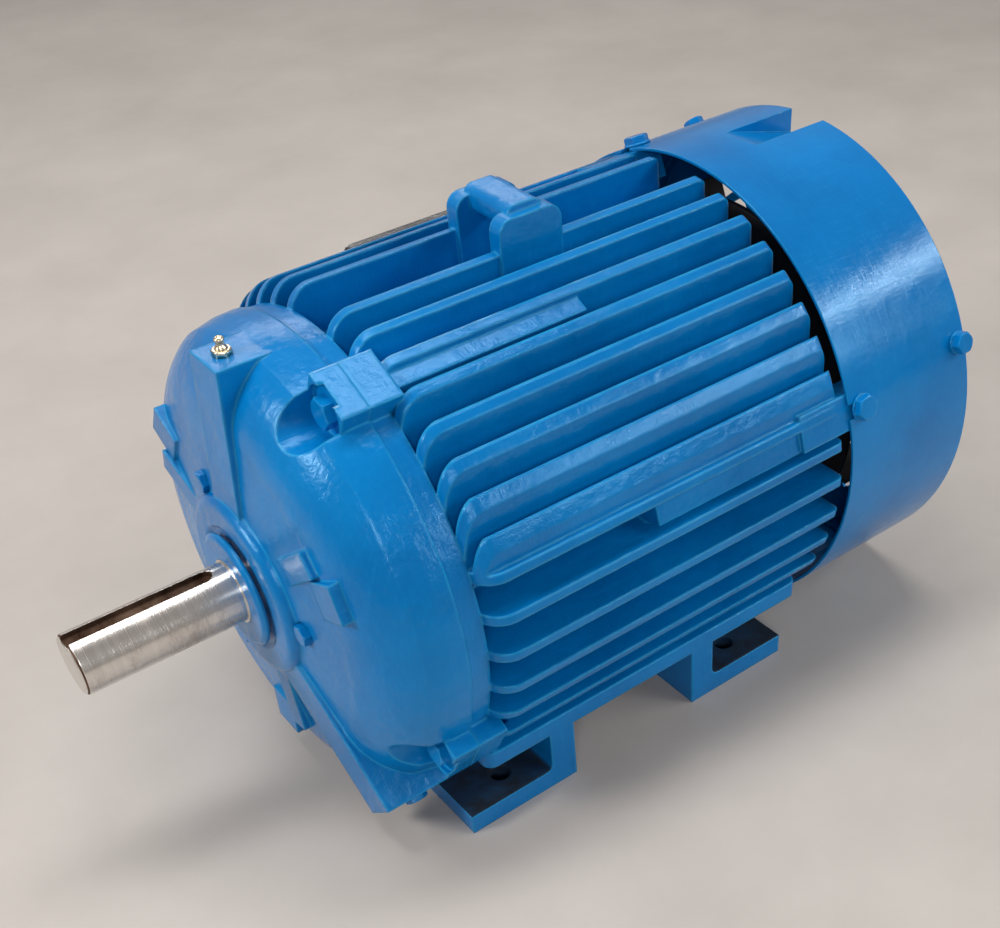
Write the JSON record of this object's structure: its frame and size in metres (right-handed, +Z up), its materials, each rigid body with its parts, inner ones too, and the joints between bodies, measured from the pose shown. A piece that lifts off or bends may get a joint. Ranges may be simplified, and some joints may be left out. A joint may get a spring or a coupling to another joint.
{
  "type": "three-phase electric motor",
  "caption": "Foot-mounted, fan-cooled three-phase electric motor with a finned cast frame, domed drive-end shield, keyed shaft, lifting eye, side terminal box and sheet fan cowl.",
  "frame": {"origin": "centre of the four foot holes, on the plane that the feet stand on", "axes": "+X along the shaft from the drive end to the fan end, +Y towards the terminal box, +Z up"},
  "size_m": [0.6211, 0.4333, 0.361],
  "materials": {
    "blue_paint": "gloss enamel over cast iron and sheet steel",
    "black_paint": "satin black",
    "core_steel": "stacked laminations",
    "copper": "varnished copper",
    "bearing_steel": "ground",
    "shaft_steel": "ground, lightly stained",
    "bolt_steel": "zinc plated",
    "bare_iron": "machined casting",
    "cast_aluminium": "as cast",
    "brass": "plain",
    "black_rubber": "matt",
    "fan_plastic": "moulded",
    "moulded_plastic": "moulded"
  },
  "bodies": {
    "stator": {"frame": "blue_paint", "stator_core": "core_steel", "stator_winding": "copper", "drive_end_shield": "blue_paint", "drive_end_shield_bolts": "blue_paint", "drive_end_bearing_cap": "bare_iron", "drive_end_cap_bolts": "blue_paint", "drive_end_bearing_outer_ring": "bearing_steel", "fan_end_shield": "blue_paint", "fan_end_shield_bolts": "blue_paint", "fan_end_bearing_cap": "bare_iron", "fan_end_cap_bolts": "bolt_steel", "fan_end_bearing_outer_ring": "bearing_steel", "fan_end_bearing_shields": "bearing_steel", "fan_cowl": "blue_paint", "cowl_bolts": "blue_paint", "fan_guard": "blue_paint", "guard_screws": "blue_paint", "grease_nipple": "brass", "relief_plug": "blue_paint", "terminal_box_seal": "black_rubber", "terminal_box": "black_paint", "cover_gasket": "black_rubber", "terminal_box_cover": "black_paint", "cover_screws": "bolt_steel", "terminal_block": "moulded_plastic", "terminal_studs": "brass", "terminal_links": "copper", "entry_plug": "moulded_plastic"},
    "rotor": {"shaft": "shaft_steel", "rotor_core": "core_steel", "rotor_cage": "cast_aluminium", "drive_end_bearing_inner_ring": "bearing_steel", "fan_end_bearing_inner_ring": "bearing_steel", "slinger": "blue_paint", "cooling_fan": "fan_plastic", "fan_key": "bolt_steel", "fan_retaining_ring": "bolt_steel"},
    "roller_set": {"drive_end_bearing_cage": "brass", "drive_end_bearing_rollers": "bearing_steel"}
  },
  "joints": [
    {"name": "shaft_spin", "type": "hinge", "parent": "stator", "child": "rotor", "pos_m": [0, 0, 0.16], "axis": [1, 0, 0], "continuous": true},
    {"name": "roller_set_spin", "type": "hinge", "parent": "stator", "child": "roller_set", "pos_m": [0, 0, 0.16], "axis": [1, 0, 0], "continuous": true}
  ],
  "couplings": [
    {"joint": "roller_set_spin", "follows": "shaft_spin", "ratio": 0.4103}
  ]
}
